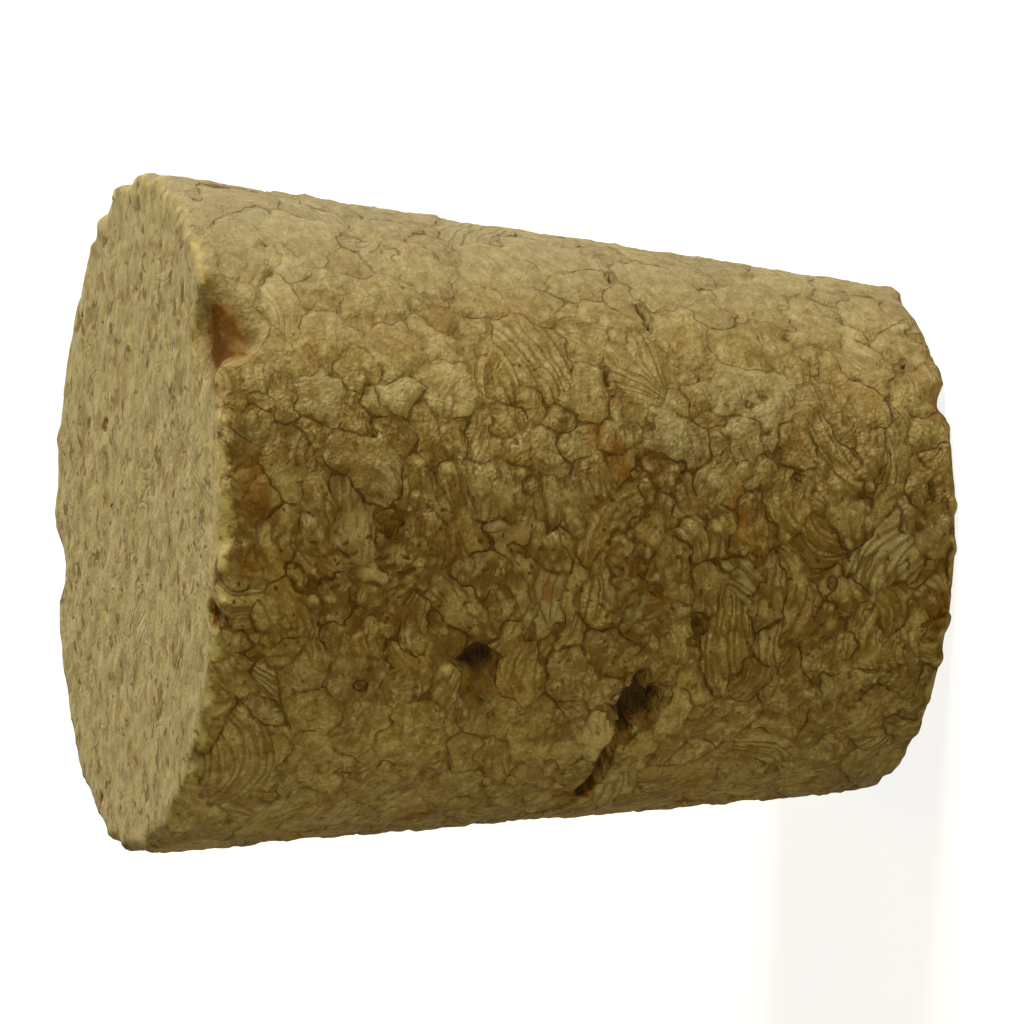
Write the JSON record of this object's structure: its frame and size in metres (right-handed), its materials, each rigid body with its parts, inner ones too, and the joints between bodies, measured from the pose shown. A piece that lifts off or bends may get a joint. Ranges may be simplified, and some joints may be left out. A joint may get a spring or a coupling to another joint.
{
  "type": "cork stopper",
  "caption": "Tapered round stopper of pressed cork granules, flat at both ends, with a worn and pitted surface.",
  "frame": {"origin": "centre of the narrow end, which is the face that the stopper stands on", "axes": "+Z along the stopper's axis from the narrow end to the wide end; -Y faces the side with the large torn voids"},
  "size_m": [0.0268, 0.0268, 0.0313],
  "materials": {
    "cork": "rough, matte agglomerated cork"
  },
  "bodies": {
    "root": {"stopper": "cork"}
  },
  "joints": []
}
